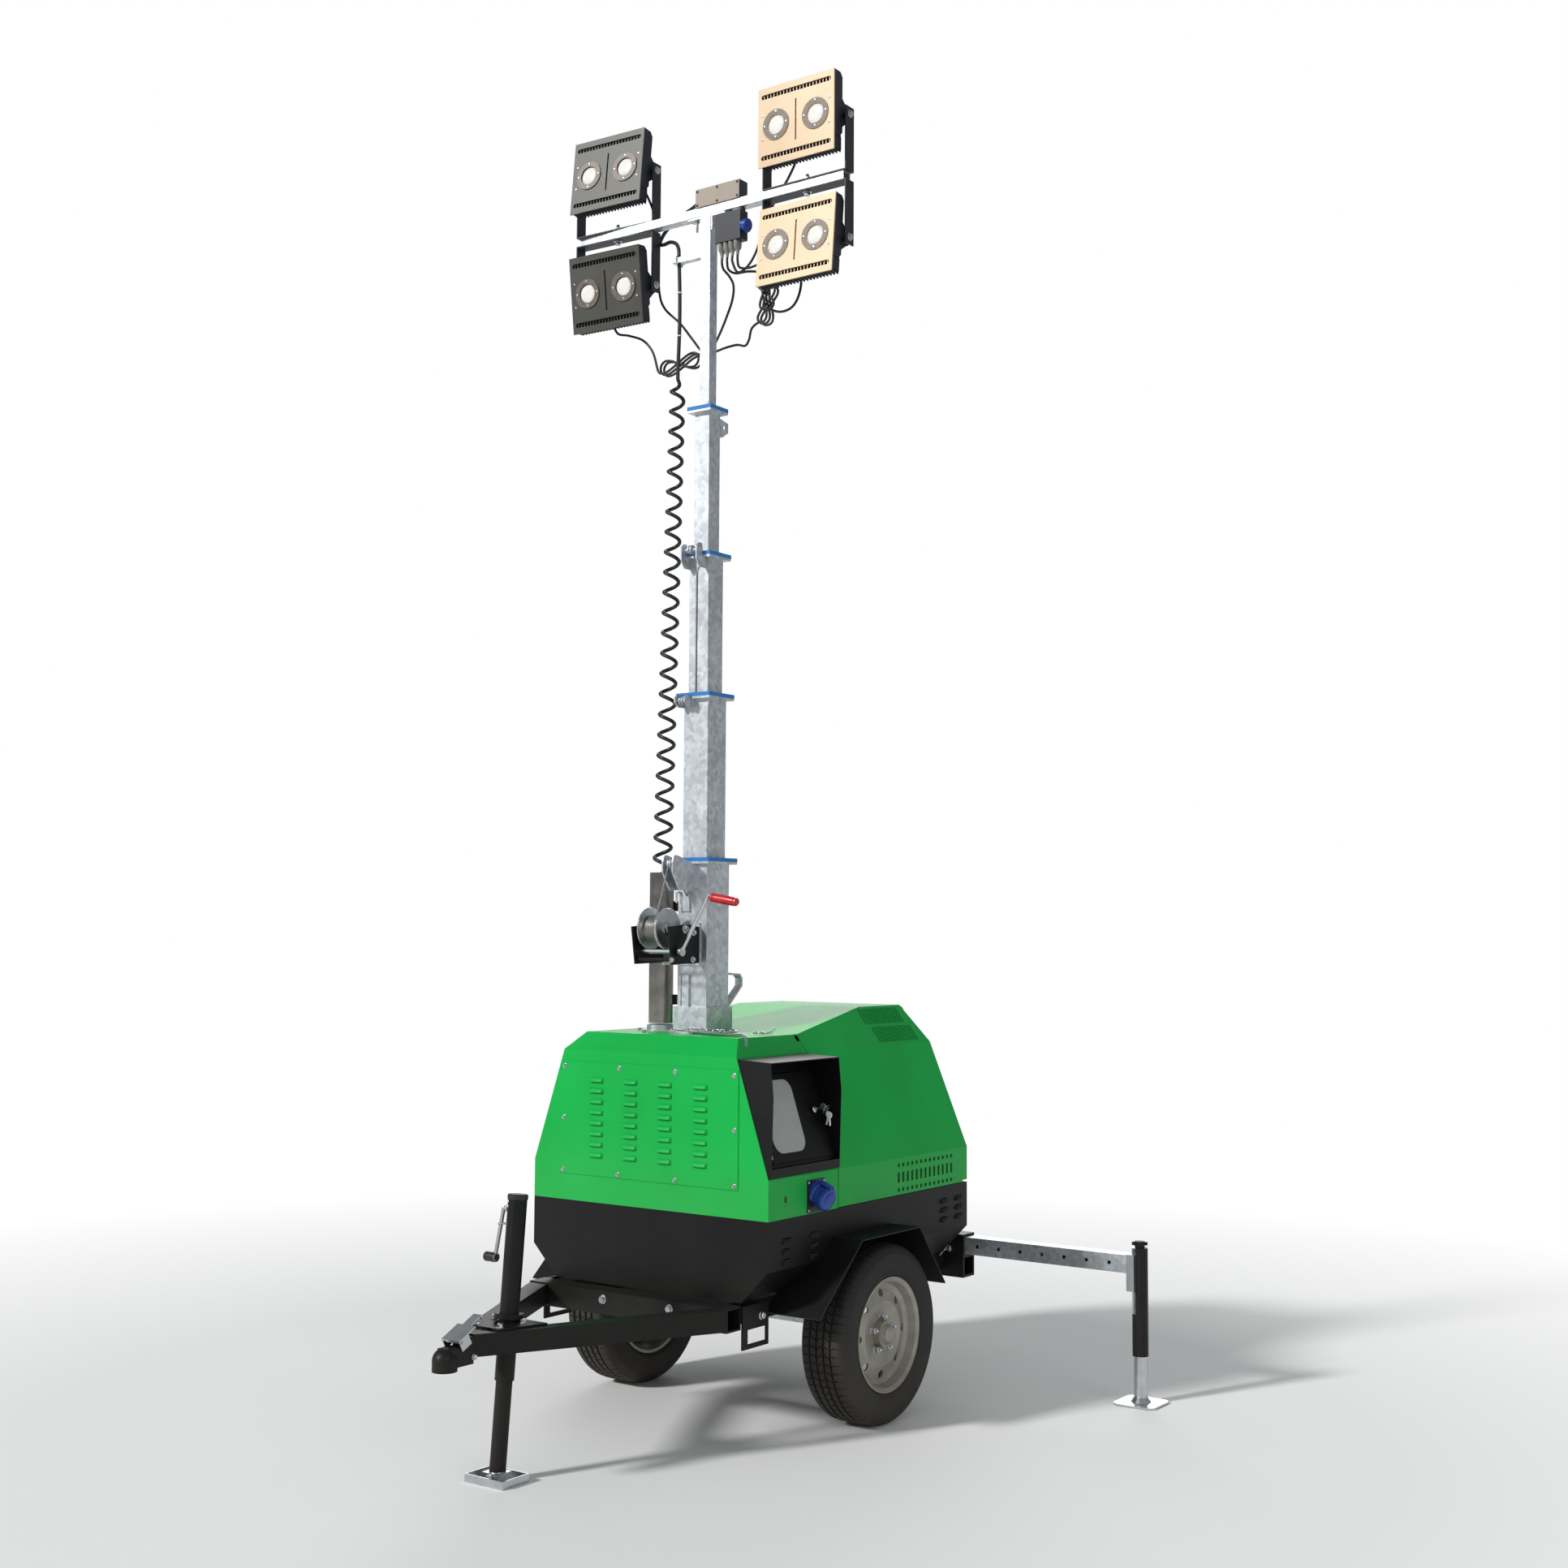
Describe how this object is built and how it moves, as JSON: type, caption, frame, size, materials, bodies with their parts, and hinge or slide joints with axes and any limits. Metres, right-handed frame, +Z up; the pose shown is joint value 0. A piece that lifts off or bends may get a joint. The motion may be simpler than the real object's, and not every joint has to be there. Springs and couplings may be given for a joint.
{
  "type": "mobile light tower",
  "caption": "Towable light tower: black tub and green hood on a two-wheel chassis, part-raised square telescopic mast, crossbar with tilting flood lamps, nose jack and rear outriggers.",
  "frame": {"origin": "middle of the whole length and width, on the ground", "axes": "+X to the side with the control desk, +Y to the rear away from the drawbar, +Z up"},
  "size_m": [2.35, 2.288, 4.3916],
  "materials": {
    "green_paint": "bright green powder coat",
    "black_paint": "satin black powder coat",
    "galvanised": "hot-dip galvanised steel",
    "zinc": "bright zinc-plated steel",
    "rim_paint": "silver wheel enamel",
    "tyre_rubber": "road tyre",
    "blue_nylon": "blue slide pads",
    "lamp_grey": "anodised lamp castings",
    "grey_plastic": "grey enclosures",
    "engine_grey": "engine paint",
    "window": "clear polycarbonate",
    "cord_rubber": "cable sheath"
  },
  "bodies": {
    "chassis": {"chassis_frame": "black_paint", "receiver": "black_paint", "tie_loops": "black_paint", "drawbar": "black_paint", "coupler": "black_paint", "jack_tube": "black_paint", "jack_crank": "zinc", "axle": "galvanised", "mudguards": "black_paint", "tub": "black_paint", "front_canopy": "green_paint", "louvre_panel": "green_paint", "control_visor": "black_paint", "control_panel": "grey_plastic", "engine_block": "engine_grey"},
    "latch": {"coupler_latch": "zinc"},
    "nose_leg": {"jack_leg": "zinc"},
    "wheel_left": {"rim_left": "rim_paint", "tyre_left": "tyre_rubber"},
    "wheel_right": {"rim_right": "rim_paint", "tyre_right": "tyre_rubber"},
    "door": {"control_door": "black_paint", "door_window": "window"},
    "hood": {"rear_hood": "green_paint"},
    "mast_base": {"mast_1": "galvanised", "collar_1": "blue_nylon", "mast_fittings": "galvanised", "winch_frame": "black_paint", "winch_drum": "zinc", "winch_crank": "zinc", "curly_cord": "cord_rubber"},
    "stage_2": {"mast_2": "galvanised", "collar_2": "blue_nylon"},
    "stage_3": {"mast_3": "galvanised", "collar_3": "blue_nylon"},
    "stage_4": {"mast_4": "galvanised", "collar_4": "blue_nylon"},
    "head": {"mast_5": "galvanised", "lamp_bar": "galvanised", "junction_box": "grey_plastic", "lamp_yokes": "lamp_grey", "lead_upper_left": "cord_rubber", "lead_upper_right": "cord_rubber", "lead_lower_left": "cord_rubber", "lead_lower_right": "cord_rubber"},
    "lamp_ul": {"lamp_upper_left": "lamp_grey"},
    "lamp_ur": {"lamp_upper_right": "lamp_grey"},
    "lamp_ll": {"lamp_lower_left": "lamp_grey"},
    "lamp_lr": {"lamp_lower_right": "lamp_grey"},
    "outrigger_left": {"beam_left": "galvanised", "leg_tube_left": "black_paint"},
    "outrigger_right": {"beam_right": "galvanised", "leg_tube_right": "black_paint"},
    "foot_left": {"leg_left": "zinc"},
    "foot_right": {"leg_right": "zinc"}
  },
  "joints": [
    {"name": "wheel_left_spin", "type": "hinge", "parent": "chassis", "child": "wheel_left", "pos_m": [-0.492, 0.322, 0.2875], "axis": [1, 0, 0], "continuous": true},
    {"name": "wheel_right_spin", "type": "hinge", "parent": "chassis", "child": "wheel_right", "pos_m": [0.492, 0.322, 0.2875], "axis": [1, 0, 0], "continuous": true},
    {"name": "latch_lift", "type": "hinge", "parent": "chassis", "child": "latch", "pos_m": [0, -1.074, 0.428], "axis": [1, 0, 0], "range_deg": [0, 50]},
    {"name": "nose_leg_slide", "type": "slide", "parent": "chassis", "child": "nose_leg", "axis": [0, 0.0872, 0.9962], "range_m": [-0.05, 0.17]},
    {"name": "door_swing", "type": "hinge", "parent": "chassis", "child": "door", "pos_m": [0.45822, -0.198, 0.92488], "axis": [-0.3224, 0, 0.9466], "range_deg": [-90, 0]},
    {"name": "hood_tilt", "type": "hinge", "parent": "chassis", "child": "hood", "pos_m": [0, 0.984, 0.727], "axis": [-1, 0, 0], "range_deg": [0, 60]},
    {"name": "mast_turn", "type": "hinge", "parent": "chassis", "child": "mast_base", "pos_m": [0, 0.057, 1], "axis": [0, 0, 1], "range_deg": [-170, 170]},
    {"name": "stage_2_slide", "type": "slide", "parent": "mast_base", "child": "stage_2", "axis": [0, 0, 1], "range_m": [-0.41, 0.45]},
    {"name": "stage_3_slide", "type": "slide", "parent": "mast_base", "child": "stage_3", "axis": [0, 0, 1], "range_m": [-0.82, 0.9]},
    {"name": "stage_4_slide", "type": "slide", "parent": "mast_base", "child": "stage_4", "axis": [0, 0, 1], "range_m": [-1.23, 1.35]},
    {"name": "head_slide", "type": "slide", "parent": "mast_base", "child": "head", "axis": [0, 0, 1], "range_m": [-1.64, 1.8], "deforming": ["curly_cord"]},
    {"name": "lamp_ul_tilt", "type": "hinge", "parent": "head", "child": "lamp_ul", "pos_m": [-0.41, 0.057, 4.251], "axis": [0.9981, 0.061, 0], "range_deg": [-30, 60], "deforming": ["lead_upper_left"]},
    {"name": "lamp_ur_tilt", "type": "hinge", "parent": "head", "child": "lamp_ur", "pos_m": [0.41, 0.057, 4.251], "axis": [1, 0, 0], "range_deg": [-30, 60], "deforming": ["lead_upper_right"]},
    {"name": "lamp_ll_tilt", "type": "hinge", "parent": "head", "child": "lamp_ll", "pos_m": [-0.41, 0.057, 3.839], "axis": [0.9981, 0.061, 0], "range_deg": [-30, 60], "deforming": ["lead_lower_left"]},
    {"name": "lamp_lr_tilt", "type": "hinge", "parent": "head", "child": "lamp_lr", "pos_m": [0.41, 0.057, 3.839], "axis": [1, 0, 0], "range_deg": [-30, 60], "deforming": ["lead_lower_right"]},
    {"name": "outrigger_left_slide", "type": "slide", "parent": "chassis", "child": "outrigger_left", "axis": [-1, 0, 0], "range_m": [-0.56, 0.08]},
    {"name": "foot_left_slide", "type": "slide", "parent": "outrigger_left", "child": "foot_left", "axis": [0, 0, 1], "range_m": [-0.06, 0.09]},
    {"name": "outrigger_right_slide", "type": "slide", "parent": "chassis", "child": "outrigger_right", "axis": [1, 0, 0], "range_m": [-0.56, 0.08]},
    {"name": "foot_right_slide", "type": "slide", "parent": "outrigger_right", "child": "foot_right", "axis": [0, 0, 1], "range_m": [-0.06, 0.09]}
  ],
  "couplings": [
    {"joint": "stage_3_slide", "follows": "stage_2_slide", "ratio": 2},
    {"joint": "stage_4_slide", "follows": "stage_2_slide", "ratio": 3},
    {"joint": "head_slide", "follows": "stage_2_slide", "ratio": 4}
  ]
}
